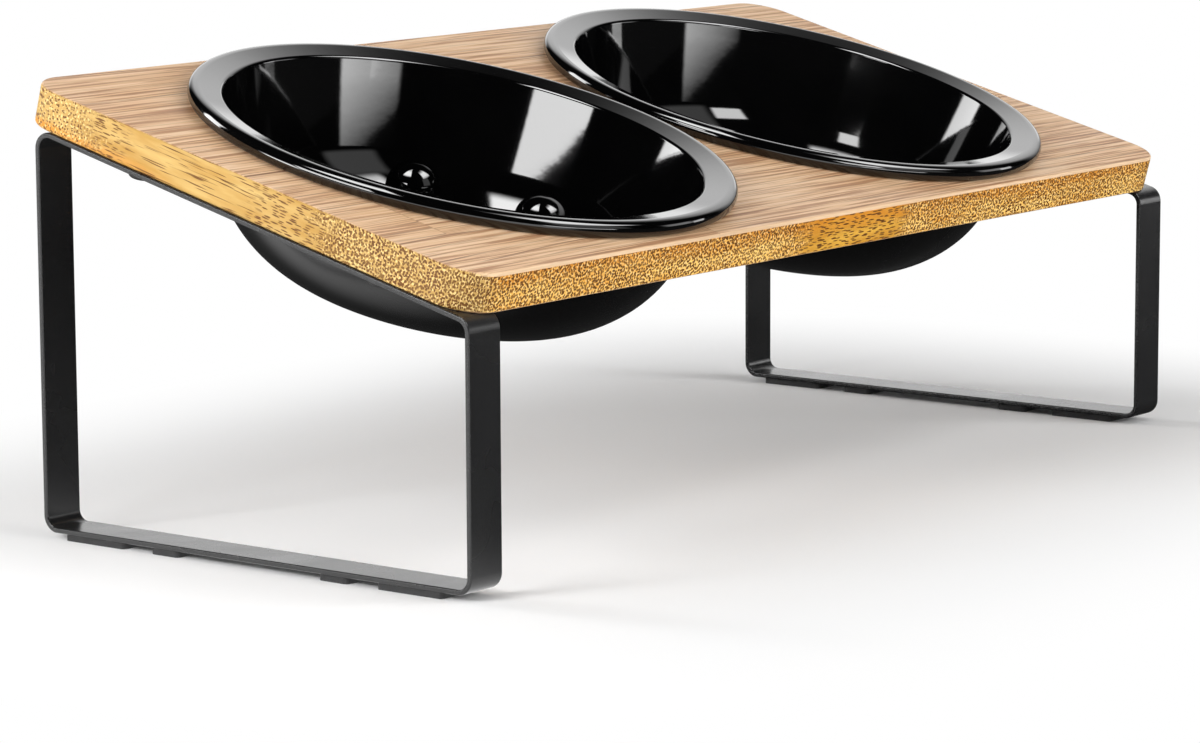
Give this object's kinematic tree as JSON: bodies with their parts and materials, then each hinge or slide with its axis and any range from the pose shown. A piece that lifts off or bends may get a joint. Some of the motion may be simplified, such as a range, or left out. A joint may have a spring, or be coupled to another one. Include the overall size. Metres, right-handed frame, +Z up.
{
  "type": "raised pet bowl stand",
  "caption": "Raised pet feeding stand: a tilted wooden board on black steel strap leg frames, with lift-out black glazed bowls hung by their rims and slow-feed domes in the left bowl.",
  "frame": {"origin": "on the floor under the middle of the stand", "axes": "+Z up, +X along the board, -Y towards the board's low front edge"},
  "size_m": [0.376, 0.1728, 0.1403],
  "materials": {
    "core_wood": "satin sealed edge",
    "veneer_wood": "satin sealed",
    "black_glaze": "high gloss",
    "black_steel": "satin powder coat",
    "screw_steel": "black oxide",
    "insert_brass": "machined",
    "pad_rubber": "matt"
  },
  "bodies": {
    "stand": {"board_core": "core_wood", "top_veneer": "veneer_wood", "bottom_veneer": "veneer_wood", "left_leg_frame": "black_steel", "left_frame_screws": "screw_steel", "left_frame_inserts": "insert_brass", "left_rear_pad": "pad_rubber", "left_front_pad": "pad_rubber", "left_rear_bumper": "pad_rubber", "left_front_bumper": "pad_rubber", "right_leg_frame": "black_steel", "right_frame_screws": "screw_steel", "right_frame_inserts": "insert_brass", "right_rear_pad": "pad_rubber", "right_front_pad": "pad_rubber", "right_rear_bumper": "pad_rubber", "right_front_bumper": "pad_rubber"},
    "left_bowl": {"left_bowl": "black_glaze"},
    "right_bowl": {"right_bowl": "black_glaze"}
  },
  "joints": [
    {"name": "left_bowl_lift", "type": "slide", "parent": "stand", "child": "left_bowl", "axis": [0, -0.2588, 0.9659], "range_m": [0, 0.06]},
    {"name": "right_bowl_lift", "type": "slide", "parent": "stand", "child": "right_bowl", "axis": [0, -0.2588, 0.9659], "range_m": [0, 0.06]}
  ]
}
